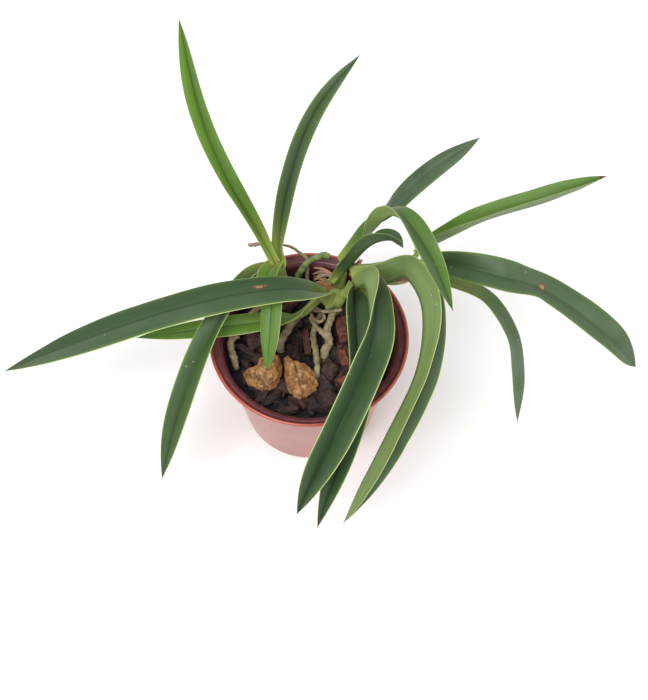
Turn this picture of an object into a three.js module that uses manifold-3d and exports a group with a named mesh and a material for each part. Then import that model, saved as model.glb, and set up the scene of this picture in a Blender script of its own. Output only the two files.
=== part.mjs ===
// A small orchid growing in a thin plastic pot of bark.
// Millimetres, +Z up, origin at the middle of the pot's underside.
import * as THREE from 'three';
import { mergeVertices } from 'three/addons/utils/BufferGeometryUtils.js';
import Module from 'manifold-3d';

const wasm = await Module();
wasm.setup();

// Driving dimensions of the pot
const RIM_RADIUS = 27.5;
const POT_HEIGHT = 38;
const LIP_HEIGHT = 1.8;
const LIP_RING = 1.2;
const BODY_TOP_RADIUS = 25;
const BASE_RADIUS = 18.8;
const WALL = 1;
const FLOOR = 1.2;
const POT_SIDES = 72;
const DRAIN = { count: 4, radius: 2.4, circle: 11.5 };

// Driving dimensions of the bark filling
const MIX_TOP = 30;
const HOLE_DEPTH = 3;
const LUMPS = { count: 70, smallest: 1.2, largest: 2.2, height: 0.7, seed: 7 };
const CHUNK_ROUGHNESS = 0.2;
const CHUNK_SEAT = 0.36;

// Driving dimensions of the plant
const LEAF_THICKNESS = 0.7;
const LEAF_STEPS = 24;
const TIP_WIDTH = 0.8;
const FOLD_END = 0.4;
const WIDEN_END = 0.4;
const TAPER_START = 0.6;
const TAPER_POWER = 2.4;
const KEEL_DEPTH = 0.6;
const ROOT_SIDES = 8;
const ROOT_STEP = 1.6;
const STEM_SIDES = 12;
const CROWN = 0.8;
const NECK_RADIUS = [1.6, 0.9];
const SHEATH_THICKNESS = 1.5 * LEAF_THICKNESS;

// Clearance between neighbouring solids
const GAP = 0.3;

const UP = new THREE.Vector3(0, 0, 1);

// Each shoot is a short stem that stands in the bark and wears the clasping bases of its leaves.
// path: points up the stem; radius: half thickness at the foot and at the crown.
const SHOOTS = {
  left: { path: [[-6.5, 19, 30], [-7, 19.5, 34], [-8.2, 20.3, 39], [-8.6, 20.8, 43]], radius: [1.6, 2.2] },
  middle: { path: [[7, 13, 30], [7, 13, 33], [7.6, 12.8, 37], [8.4, 12.8, 40]], radius: [2, 2.8] },
  back: { path: [[8.5, 18.4, 30], [8.5, 18.4, 33], [8.8, 19.4, 37], [9.4, 20.8, 40]], radius: [1.6, 1.9] },
  right: {
    path: [[14.4, 13.4, 30], [14.8, 13.8, 34], [18.6, 16, 41.4], [25.5, 15.9, 42.8], [30.5, 17, 46]],
    radius: [1.6, 2.2],
  },
};

// Each leaf is a folded blade on an arching midrib.
// path: midrib points [x, y, z, roll in degrees]; width: flat width where it is broadest;
// fold: how far each half is folded up at the base and at the tip, in degrees;
// shut and opened: shares of the length where the fold starts to open and where it is open;
// base: width at the base as a share of the broadest; sheath: length of the clasping base;
// blunt: power of the taper to the tip.
const LEAVES = {
  back_left: {
    shoot: 'left', width: 7, fold: [60, 45], base: 0.65, sheath: 9, blunt: 3,
    path: [[-9.5, 21, 44.5, 25], [-13, 23.5, 52.5, 25], [-21, 27.5, 73, 10], [-27, 34.5, 94, 25],
      [-31, 43.5, 121.5, 30]],
  },
  back_upright: {
    shoot: 'left', width: 7.5, fold: [60, 50], base: 0.65, sheath: 9,
    path: [[-7.5, 21, 43, 5], [-7.5, 24, 50, 10], [-5, 30.5, 66, -15], [2, 38.5, 88, -25],
      [14.5, 52.5, 95, -5]],
  },
  left_drooping: {
    shoot: 'left', width: 8, fold: [55, 35], base: 0.55, sheath: 8,
    path: [[-9.5, 20, 41.5, -5], [-15.5, 15.5, 45, -10], [-21, 4.5, 48.5, -25], [-29, -6.5, 42.5, -5],
      [-36, -19.5, 31, 5], [-41.5, -31, 14, 0]],
  },
  left_short: {
    shoot: 'left', width: 6, fold: [45, 5], base: 0.8, sheath: 6,
    path: [[-9, 20, 43.5, 0], [-11.2, 13, 49, -5], [-10, 5, 50.5, -15], [-10.5, -3.5, 46, -20],
      [-11.5, -11, 39.5, -10]],
  },
  left_long: {
    shoot: 'middle', width: 10.5, fold: [80, 5], shut: 0.03, opened: 0.16, base: 0.75, sheath: 4,
    path: [[5.5, 9, 39, -45], [1, 7, 49.5, -25], [-9, 6, 53, -10], [-29.5, 2.5, 52.5, -5],
      [-54.5, 1, 41, -5], [-85.5, -2.5, 25.5, -10]],
  },
  left_low: {
    shoot: 'middle', width: 6, fold: [45, 15], base: 0.7, sheath: 5,
    path: [[4, 13, 37.5, -45], [-1, 8, 37, -60], [-6.5, 4, 40.5, -25], [-19, 2, 41.5, 15],
      [-32.5, 1, 40, 0], [-47.5, 0.5, 38, -5]],
  },
  front_inner: {
    shoot: 'middle', width: 9.5, fold: [80, 40], shut: 0.05, opened: 0.25, base: 0.85, sheath: 7.5,
    path: [[9.5, 13, 38.5, 52], [11.5, 7.5, 44.5, 40], [12.5, -2, 51, 18], [12.4, -20, 46, 25],
      [8.6, -34, 36, 10], [1.5, -49, 19.5, 0]],
  },
  front_broad: {
    shoot: 'middle', width: 12.5, fold: [80, 45], shut: 0.1, opened: 0.32, base: 0.6, sheath: 9,
    path: [[12, 12.5, 41, 50], [15.5, 7.5, 53.5, 68], [16.5, -3, 57, 50], [15.5, -15.5, 53, 20],
      [6.5, -34, 45.5, 20], [-4, -46.5, 23, 15]],
  },
  front_arching: {
    shoot: 'middle', width: 11.8, fold: [80, 55], shut: 0.25, opened: 0.5, base: 0.95, sheath: 9, blunt: 3,
    path: [[13, 14.2, 40.5, 52], [22.5, 12.5, 46.5, 42], [26.5, 8, 56, 60], [30.5, -4, 58.5, 72],
      [28.5, -19, 52.5, 70], [20, -33, 40.5, 80], [8.5, -48.5, 21, 90]],
  },
  back_small: {
    shoot: 'back', width: 6, fold: [45, 45], base: 0.55, sheath: 7, blunt: 4,
    path: [[7, 17, 39.2, 50], [12.6, 17.5, 50, 50], [17.5, 17.3, 58.9, 60], [22.6, 17.8, 59.6, 20],
      [26, 17.6, 55.2, 0]],
  },
  back_arching: {
    shoot: 'back', width: 7.5, fold: [50, 35], base: 0.6, sheath: 9,
    path: [[9.8, 22.4, 40, 15], [17.5, 23.6, 55, 5], [22, 20.2, 68, 35], [26.5, 14, 72.5, 20],
      [32.5, 4, 71, -15], [38, -5.5, 60.5, -15]],
  },
  back_right: {
    shoot: 'back', width: 7, fold: [50, 5], base: 0.5, sheath: 10,
    path: [[10.5, 22.6, 40.2, 15], [16.8, 27.8, 47.8, 20], [24, 28.8, 59.6, 15], [33, 33.5, 67.5, 5],
      [46.5, 39, 76, -15]],
  },
  right_upper: {
    shoot: 'right', width: 8, fold: [60, 55], base: 0.5, sheath: 4, blunt: 3,
    path: [[30.5, 20.5, 48.5, 15], [36, 20.7, 54, 25], [47.5, 21.2, 63.2, 10], [64.5, 23.3, 69.3, 15],
      [79.5, 26, 76, 0]],
  },
  right_broad: {
    shoot: 'right', width: 10, fold: [55, 20], base: 0.7, sheath: 4, blunt: 4,
    path: [[32.5, 15.2, 48, -25], [37.5, 13.5, 54, -40], [52.5, 6, 58, -10], [64.5, 4.5, 52, 10],
      [80, -5.5, 47, 0], [89.5, -9.5, 35.5, -20]],
  },
  right_narrow: {
    shoot: 'right', width: 5, fold: [50, 10], base: 0.8, sheath: 4,
    path: [[32, 14.6, 44.4, 0], [39, 11.2, 47.5, -5], [49, 6.3, 46.4, 15], [55.5, -1, 39.5, 20],
      [58, -7, 27.5, 25], [58.5, -15.5, 15, 20]],
  },
};

// Roots: path points from the bark to the shoot or the air; radius along it; colour.
// A root whose foot is true ends upright in a hole in the bark.
const ROOTS = {
  aerial: {
    foot: true, radius: [0.6, 0.45], colour: 0xb9b3a0,
    path: [[-0.3, 19.8, 31], [-0.3, 21.4, 33.4], [-0.2, 23.4, 36], [0, 24.9, 38.3], [-2.6, 26.2, 40.4],
      [-5.5, 27, 42.3], [-16.5, 26.6, 44]],
  },
  arched: {
    foot: true, radius: [0.9, 0.9], colour: 0x6f8348,
    path: [[-3.2, 20.3, 31], [-2.8, 22, 34.6], [0, 23.2, 39.4], [3.6, 23.8, 42], [6.4, 23.7, 42]],
  },
  front: {
    foot: true, radius: [1.1, 1], colour: 0xa7987a,
    path: [[3.7, -1.8, 31], [4.4, 0.4, 32.8], [5.6, 4, 34.2], [5.4, 7.6, 34.2], [5.8, 9.6, 34]],
  },
  centre: {
    foot: true, radius: [0.8, 0.8], colour: 0x9c9a72,
    path: [[2.2, -8.6, 31], [2.1, -6.4, 32.6], [1.9, -2, 33.2], [1.2, 3, 33.4], [2.2, 7.4, 33.2],
      [3.6, 10.4, 33]],
  },
  left: {
    foot: true, radius: [1, 1], colour: 0x9a8462,
    path: [[-8.2, 0.2, 31], [-7.7, 1.8, 32.4], [-6.4, 4.2, 33.4], [-4, 8, 33.4], [-1.5, 10.8, 33.2],
      [1.6, 12.6, 33.2]],
  },
  far_left: {
    foot: true, radius: [0.9, 0.8], colour: 0xa08660,
    path: [[-20.2, -5.2, 31], [-20.8, -3.6, 32.6], [-21.6, -1, 33.8], [-21.4, 1.8, 34.6], [-19, 6, 34.6],
      [-14, 12, 34.4], [-9.4, 17.4, 34.2]],
  },
  across: {
    foot: false, radius: [0.4, 0.5], colour: 0x8f8f7a,
    path: [[-1, 10.4, 35], [2, 9.6, 35.5], [5.2, 9.1, 36], [9.2, 9.4, 36.4]],
  },
};

// Papery remains of old leaf bases, as narrow blades that lean on a shoot.
const BRACTS = {
  pale_long: { width: 2.2, colour: 0xc89a80, path: [[6.7, 21, 36.4], [4.2, 22, 37], [1.8, 22, 36.4]] },
  pale_short: { width: 1.8, colour: 0xb88468, path: [[6.4, 18.6, 35], [4, 19.4, 35.2], [1.8, 19.8, 34.4]] },
  orange: { width: 2.2, colour: 0xc07c40, path: [[6.8, 16.4, 36], [4.8, 16.8, 37.2], [3.2, 17.6, 36.8]] },
  spike: { width: 1.4, colour: 0x6a4030, path: [[11.8, 19.8, 38], [13.3, 20.6, 39.6], [14.8, 21.6, 41.6]] },
  sleeve: {
    width: 3.6, colour: 0xb87850,
    path: [[23, 13.6, 45.3, 150], [25.6, 13.7, 46, 150], [28.4, 14.2, 47.4, 150]],
  },
};

// Loose pieces on the bark: middle, full size and turn about the vertical in degrees.
const STONES = {
  left: { at: [-13.1, -8.6], size: [11.4, 9.6, 6.6], turn: 20, colour: 0xc08048, seed: 11 },
  right: { at: [-2.6, -12], size: [8.6, 10.6, 6], turn: 35, colour: 0xb0764a, seed: 23 },
};
const CHUNKS = [
  { at: [-0.6, 2], size: [2, 8, 3.2], turn: 8, colour: 0x6b4a3c },
  { at: [5.6, -7], size: [4.6, 6, 3.4], turn: -15, colour: 0x41302e },
  { at: [9.2, 6], size: [3.2, 9, 4.4], turn: 5, colour: 0x6e382a },
  { at: [9.4, -3.4], size: [3, 6, 3.4], turn: 12, colour: 0x7a4630 },
  { at: [9.6, -10.8], size: [3.4, 4, 3.4], turn: 40, colour: 0xa06a44 },
  { at: [5, -16], size: [7.4, 6, 3.6], turn: 25, colour: 0x45323a },
  { at: [-6.4, -19.2], size: [8, 3, 2.4], turn: 8, colour: 0x3f2f30 },
  { at: [-15.4, 2.6], size: [4.6, 6.6, 4], turn: 30, colour: 0x51443a },
  { at: [-4.6, -1.4], size: [4, 6, 3.2], turn: 0, colour: 0x3c2a36 },
  { at: [-5.6, 13.8], size: [5.4, 3, 3], turn: 40, colour: 0x84674e },
  { at: [16.6, 8.4], size: [5, 6.4, 4], turn: -30, colour: 0x5a332c },
  { at: [16.2, -8], size: [6, 8, 4], turn: 20, colour: 0x4a302c },
  { at: [-15.6, 10.6], size: [5, 4, 3], turn: -20, colour: 0x4c3834 },
];

// Random draw between 0 and 1 that gives the same row for the same seed
function randomRow(seed) {
  let state = seed;
  return () => {
    state = (state * 16807) % 2147483647;
    return state / 2147483647;
  };
}

// One closed skin: positions only, doubled corners joined, collapsed triangles dropped
function skin(geometry) {
  const bare = geometry.clone();
  bare.deleteAttribute('uv');
  bare.deleteAttribute('normal');
  const joined = mergeVertices(bare, 1e-4);
  const corners = joined.index.array;
  const kept = [];
  for (let i = 0; i < corners.length; i += 3) {
    const [a, b, c] = corners.slice(i, i + 3);
    if (a !== b && b !== c && c !== a) kept.push(a, b, c);
  }
  joined.setIndex(kept);
  return joined;
}

function toSolid(geometry) {
  const joined = skin(geometry);
  const vertProperties = new Float32Array(joined.attributes.position.array);
  const triVerts = new Uint32Array(joined.index.array);
  return new wasm.Manifold(new wasm.Mesh({ numProp: 3, vertProperties, triVerts }));
}

function toGeometry(solid) {
  const { vertProperties, triVerts } = solid.getMesh();
  const geometry = new THREE.BufferGeometry();
  geometry.setAttribute('position', new THREE.BufferAttribute(new Float32Array(vertProperties), 3));
  geometry.setIndex(new THREE.BufferAttribute(new Uint32Array(triVerts), 1));
  return geometry;
}

// Solid of revolution about Z from [radius, height] corners that start and end on the axis
function turned(corners, sides) {
  const profile = corners.map(([radius, height]) => new THREE.Vector2(radius, height));
  return new THREE.LatheGeometry(profile, sides).rotateX(Math.PI / 2);
}

function post(x, y, low, high, radius, sides = 16) {
  const cylinder = new THREE.CylinderGeometry(radius, radius, high - low, sides).rotateX(Math.PI / 2);
  return toSolid(cylinder.translate(x, y, (low + high) / 2));
}

function smoothPath(points) {
  const corners = points.map(([x, y, z]) => new THREE.Vector3(x, y, z));
  return new THREE.CatmullRomCurve3(corners, false, 'catmullrom', 0.5);
}

// Path with an upright foot added below its first point, down into the bark
function rooted(points) {
  const [x, y] = points[0];
  return [[x, y, MIX_TOP - HOLE_DEPTH + GAP], [x, y, MIX_TOP - HOLE_DEPTH / 3], ...points];
}

// Round rod along a path, its radius changing evenly from the first value to the last
function rod(path, radii, sides, steps) {
  const geometry = new THREE.CylinderGeometry(1, 1, 1, sides, steps);
  const frames = path.computeFrenetFrames(steps, false);
  const position = geometry.attributes.position;
  for (let i = 0; i < position.count; i += 1) {
    const step = Math.round((position.getY(i) + 0.5) * steps);
    const radius = THREE.MathUtils.lerp(radii[0], radii[1], step / steps);
    const point = path.getPointAt(step / steps)
      .addScaledVector(frames.binormals[step], position.getX(i) * radius)
      .addScaledVector(frames.normals[step], position.getZ(i) * radius);
    position.setXYZ(i, point.x, point.y, point.z);
  }
  return geometry;
}

// Folded blade along its midrib between two shares of its length. Its two halves keep their thickness,
// and where it is folded shut they are one below the groove.
function blade(leaf, from, to, steps, thickness) {
  const path = smoothPath(leaf.path);
  const rolls = smoothPath(leaf.path.map((point) => [point[3] ?? 0, 0, 0]));
  const geometry = new THREE.BoxGeometry(2, 1, 1, 2, steps, 1);
  const position = geometry.attributes.position;
  for (let i = 0; i < position.count; i += 1) {
    const along = THREE.MathUtils.lerp(from, to, position.getY(i) + 0.5);
    const across = position.getX(i);
    const tangent = path.getTangentAt(along);
    const side = new THREE.Vector3().crossVectors(tangent, UP).normalize();
    const face = new THREE.Vector3().crossVectors(side, tangent);
    const roll = THREE.MathUtils.degToRad(rolls.getPoint(path.getUtoTmapping(along)).x);
    const sideways = side.clone().multiplyScalar(Math.cos(roll)).addScaledVector(face, Math.sin(roll));
    const outward = face.clone().multiplyScalar(Math.cos(roll)).addScaledVector(side, -Math.sin(roll));
    const fold = foldAngle(leaf, along);
    const half = Math.max(leafWidth(leaf, along), TIP_WIDTH) / 2;
    const [sine, cosine] = [Math.sin(fold), Math.cos(fold)];
    const mitre = thickness / 2 / cosine;
    const keel = Math.min(mitre, KEEL_DEPTH);
    const groove = Math.min(2 * mitre - keel, Math.max(mitre, 0.9 * half * sine));
    const skinOffset = position.getZ(i) * thickness;
    const ridge = skinOffset > 0 ? groove : -keel;
    const lift = across === 0 ? ridge : half * sine + skinOffset * cosine;
    const point = path.getPointAt(along)
      .addScaledVector(sideways, across * (half * cosine - skinOffset * sine))
      .addScaledVector(outward, lift);
    position.setXYZ(i, point.x, point.y, point.z);
  }
  return geometry;
}

function foldAngle(leaf, along) {
  const [atBase, atTip] = leaf.fold;
  const shut = leaf.shut ?? 0;
  const opened = leaf.opened ?? FOLD_END;
  const closing = (1 - THREE.MathUtils.clamp((along - shut) / (opened - shut), 0, 1)) ** 1.5;
  return THREE.MathUtils.degToRad(atTip + (atBase - atTip) * closing);
}

function leafWidth(leaf, along) {
  const widening = Math.sin(Math.min(along / WIDEN_END, 1) * Math.PI / 2);
  const taper = Math.max(along - TAPER_START, 0) / (1 - TAPER_START);
  return leaf.width * (leaf.base + (1 - leaf.base) * widening) * (1 - taper ** (leaf.blunt ?? TAPER_POWER));
}

function sheathShare(leaf) {
  return leaf.sheath / smoothPath(leaf.path).getLength();
}

// Thin-walled pot: tapered body under a stepped-out lip, with drain holes round the middle
function makePot() {
  const underLip = POT_HEIGHT - LIP_HEIGHT;
  const bevel = 0.4;
  const shell = toSolid(turned([
    [0, 0],
    [BASE_RADIUS - 2 * bevel, 0],
    [BASE_RADIUS, 2 * bevel],
    [BODY_TOP_RADIUS, underLip],
    [RIM_RADIUS - bevel, underLip],
    [RIM_RADIUS, underLip + bevel],
    [RIM_RADIUS, POT_HEIGHT - bevel],
    [RIM_RADIUS - bevel, POT_HEIGHT],
    [RIM_RADIUS - LIP_RING, POT_HEIGHT],
    [RIM_RADIUS - LIP_RING - bevel, POT_HEIGHT - bevel],
    [BODY_TOP_RADIUS - WALL, underLip - WALL],
    [BASE_RADIUS - WALL, FLOOR],
    [0, FLOOR],
  ], POT_SIDES));
  let pot = shell;
  for (let i = 0; i < DRAIN.count; i += 1) {
    const angle = (i + 0.5) * 2 * Math.PI / DRAIN.count;
    const x = DRAIN.circle * Math.cos(angle);
    const y = DRAIN.circle * Math.sin(angle);
    pot = pot.subtract(post(x, y, -1, FLOOR + 1, DRAIN.radius));
  }
  return toGeometry(pot);
}

function innerRadius(height) {
  const share = (height - FLOOR) / (POT_HEIGHT - LIP_HEIGHT - WALL - FLOOR);
  return THREE.MathUtils.lerp(BASE_RADIUS, BODY_TOP_RADIUS, share) - WALL;
}

// What stands in the bark, as [x, y, radius]
function footings() {
  const shoots = Object.values(SHOOTS).map(({ path, radius }) => [path[0][0], path[0][1], radius[0]]);
  const roots = Object.values(ROOTS)
    .filter((root) => root.foot)
    .map(({ path, radius }) => [path[0][0], path[0][1], radius[0]]);
  return [...shoots, ...roots];
}

// Clear of every loose piece and every footing
function isFree(x, y, radius) {
  const pieces = [...Object.values(STONES), ...CHUNKS];
  const discs = [
    ...pieces.map(({ at, size }) => [at[0], at[1], Math.max(size[0], size[1]) / 2]),
    ...footings(),
  ];
  return discs.every(([cx, cy, r]) => Math.hypot(x - cx, y - cy) > radius + r + 2 * GAP);
}

// Bark filling: one body with small bits sunk into its top and a hole for each stem and root
function makeMix() {
  const low = FLOOR + GAP;
  const body = turned([
    [0, low],
    [innerRadius(low) - GAP, low],
    [innerRadius(MIX_TOP) - GAP, MIX_TOP],
    [0, MIX_TOP],
  ], POT_SIDES);
  let mix = toSolid(body);
  const random = randomRow(LUMPS.seed);
  for (let i = 0; i < LUMPS.count; i += 1) {
    const radius = THREE.MathUtils.lerp(LUMPS.smallest, LUMPS.largest, random());
    const angle = 2 * Math.PI * random();
    const reach = (innerRadius(MIX_TOP) - 2 * GAP - radius) * Math.sqrt(random());
    const x = reach * Math.cos(angle);
    const y = reach * Math.sin(angle);
    const spin = 2 * Math.PI * random();
    if (isFree(x, y, radius)) {
      const bit = new THREE.IcosahedronGeometry(radius, 0).scale(1, 0.7, LUMPS.height).rotateZ(spin);
      mix = mix.add(toSolid(bit.translate(x, y, MIX_TOP)));
    }
  }
  for (const [x, y, radius] of footings()) {
    mix = mix.subtract(post(x, y, MIX_TOP - HOLE_DEPTH, MIX_TOP + 1, radius + GAP));
    mix = mix.subtract(post(x, y, MIX_TOP, MIX_TOP + 3, radius + 3 * GAP));
  }
  return toGeometry(mix);
}

// Rough piece cut flat at CHUNK_SEAT of its height below its middle, resting just clear of the filling
function makeChunk({ at, size, turn }, seed, detail) {
  const random = randomRow(seed);
  const geometry = skin(new THREE.IcosahedronGeometry(0.5, detail));
  const position = geometry.attributes.position;
  for (let i = 0; i < position.count; i += 1) {
    const stretch = 1 + CHUNK_ROUGHNESS * (random() - 0.7);
    const point = new THREE.Vector3().fromBufferAttribute(position, i).multiplyScalar(stretch);
    const raised = Math.max(point.z, -CHUNK_SEAT) + CHUNK_SEAT;
    position.setXYZ(i, point.x * size[0], point.y * size[1], raised * size[2]);
  }
  return geometry.rotateZ(THREE.MathUtils.degToRad(turn)).translate(at[0], at[1], MIX_TOP + GAP);
}

// Stem with its leaves' clasping bases fused to it
function makeShoot(name) {
  const { path, radius } = SHOOTS[name];
  const stem = smoothPath(rooted(path));
  let shoot = toSolid(rod(stem, radius, STEM_SIDES, 12));
  for (const leaf of Object.values(LEAVES).filter((each) => each.shoot === name)) {
    const midrib = smoothPath(leaf.path);
    const end = sheathShare(leaf) - GAP / midrib.getLength();
    const within = [stem.getPointAt(CROWN), midrib.getPointAt(0), midrib.getPointAt(end / 2)];
    shoot = shoot.add(toSolid(rod(new THREE.CatmullRomCurve3(within), NECK_RADIUS, STEM_SIDES, 4)));
    shoot = shoot.add(toSolid(blade(leaf, 0, end, 3, SHEATH_THICKNESS)));
  }
  return toGeometry(shoot);
}

function makeLeaf(leaf) {
  return skin(blade(leaf, sheathShare(leaf), 1, LEAF_STEPS, LEAF_THICKNESS));
}

function makeRoot({ path, radius, foot }) {
  const curve = smoothPath(foot ? rooted(path) : path);
  return skin(rod(curve, radius, ROOT_SIDES, Math.ceil(curve.getLength() / ROOT_STEP)));
}

function makeBract({ path, width }) {
  const strip = { path, width, fold: [30, 20], base: 0.8 };
  return skin(blade(strip, 0, 1, 5, LEAF_THICKNESS));
}

function plastic(colour) {
  return new THREE.MeshStandardMaterial({ color: colour, roughness: 0.3, metalness: 0 });
}

function leafGreen() {
  return new THREE.MeshStandardMaterial({ color: 0x3c5c34, roughness: 0.45, metalness: 0 });
}

function dull(colour) {
  return new THREE.MeshStandardMaterial({ color: colour, roughness: 0.9, metalness: 0 });
}

const group = new THREE.Group();

function place(name, geometry, material) {
  const mesh = new THREE.Mesh(geometry, material);
  mesh.name = name;
  group.add(mesh);
}

place('pot', makePot(), plastic(0xb45a46));
place('bark_mix', makeMix(), dull(0x3a2a2c));
Object.entries(STONES).forEach(([name, stone]) => {
  place(`bark_large_${name}`, makeChunk(stone, stone.seed, 2), dull(stone.colour));
});
CHUNKS.forEach((chunk, i) => {
  const label = String(i + 1).padStart(2, '0');
  place(`bark_chunk_${label}`, makeChunk(chunk, 100 + i, 1), dull(chunk.colour));
});
Object.keys(SHOOTS).forEach((name) => place(`shoot_${name}`, makeShoot(name), dull(0x8c9a4c)));
Object.entries(LEAVES).forEach(([name, leaf]) => place(`leaf_${name}`, makeLeaf(leaf), leafGreen()));
Object.entries(ROOTS).forEach(([name, root]) => place(`root_${name}`, makeRoot(root), dull(root.colour)));
Object.entries(BRACTS).forEach(([name, bract]) => {
  place(`bract_${name}`, makeBract(bract), dull(bract.colour));
});

export default group;
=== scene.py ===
import math
import random

import bmesh
import bpy
import numpy as np
from bpy.props import FloatProperty, FloatVectorProperty, IntProperty, PointerProperty
from mathutils import Matrix, Vector, noise


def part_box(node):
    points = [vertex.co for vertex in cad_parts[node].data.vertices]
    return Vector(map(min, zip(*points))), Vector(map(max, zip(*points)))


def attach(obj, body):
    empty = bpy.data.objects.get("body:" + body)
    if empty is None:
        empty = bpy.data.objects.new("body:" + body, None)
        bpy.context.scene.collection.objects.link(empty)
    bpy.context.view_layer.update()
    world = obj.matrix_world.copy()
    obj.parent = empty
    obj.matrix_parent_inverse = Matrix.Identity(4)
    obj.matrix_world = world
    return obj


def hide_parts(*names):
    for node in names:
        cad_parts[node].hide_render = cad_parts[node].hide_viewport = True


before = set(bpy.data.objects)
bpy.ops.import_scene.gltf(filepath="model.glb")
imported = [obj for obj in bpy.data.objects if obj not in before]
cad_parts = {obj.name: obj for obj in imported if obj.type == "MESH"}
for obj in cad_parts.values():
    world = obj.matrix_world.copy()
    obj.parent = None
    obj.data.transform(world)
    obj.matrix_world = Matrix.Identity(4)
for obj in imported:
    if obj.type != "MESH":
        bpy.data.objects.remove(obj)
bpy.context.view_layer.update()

bl_info = {
    "name": "Wind orchid in pot",
    "version": (1, 0, 0),
    "blender": (4, 5, 0),
    "location": "View3D > Sidebar > Orchid",
    "description": "Models and finishes a small orchid growing in a pot of bark",
    "category": "Object",
}

MM = 0.001
ROUND = 2 * math.pi

# Shares of a leaf's length where its base has opened, where it is full width and where it starts to taper,
# and how late its tip narrows
FOLD_END = 0.4
WIDEN_END = 0.4
TAPER_START = 0.6
TAPER_POWER = 2.4

# Section of a blade: faces round it; in mm its width at the tip, the depth of its keel, and how far the
# midrib sways and a margin ripples
BLADE_ROUNDS = 56
TIP_WIDTH = 0.25
KEEL = 0.3
SWAY = 0.18
RIPPLE = 0.16

# Torn strips in each dry sheath remain
STRIPS = 9

# Heights in mm: the feet of the stems in the filling, the filling's top, and what the loose pieces rest on
STEM_FEET = (27.4, 29)
FILLING_TOP = 29.1
SEAT = 30.2

# How a lump breaks: wear rounds its edges less as it rises, grain and roughness set its crumbs, and pitted
# its hollows, which take painted shade
BARK = dict(wear=24, grain=5, roughness=0.4, pitted=0)
CORK = dict(wear=7, grain=0.45, roughness=0.26, pitted=0.8)

# Size of the corky lumps' blocks against their corners
LUMP_SWELL = 1.1

# Stage in metres: radius of the floor, where the camera is and what it looks at
FLOOR_RADIUS = 3
CAMERA_SPOT = (0, -0.2474, 0.4725)
CAMERA_AIM = (0.00404, -0.0042, 0.038)

# Each shoot: points up its stem in mm, and its half thickness at the foot and at the crown
SHOOTS = {
    "left": ([[-6.5, 19, 30], [-7, 19.5, 34], [-8.2, 20.3, 39], [-8.6, 20.8, 43]], (1.6, 2.2)),
    "middle": ([[7, 13, 30], [7, 13, 33], [7.6, 12.8, 37], [8.4, 12.8, 40]], (2, 2.8)),
    "back": ([[8.5, 18.4, 30], [8.5, 18.4, 33], [8.8, 19.4, 37], [9.4, 20.8, 40]], (1.6, 1.9)),
    "right": ([[14.4, 13.4, 30], [14.8, 13.8, 34], [18.6, 16, 41.4], [25.5, 15.9, 42.8],
               [30.5, 17, 46]], (1.6, 2.2)),
}
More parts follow.
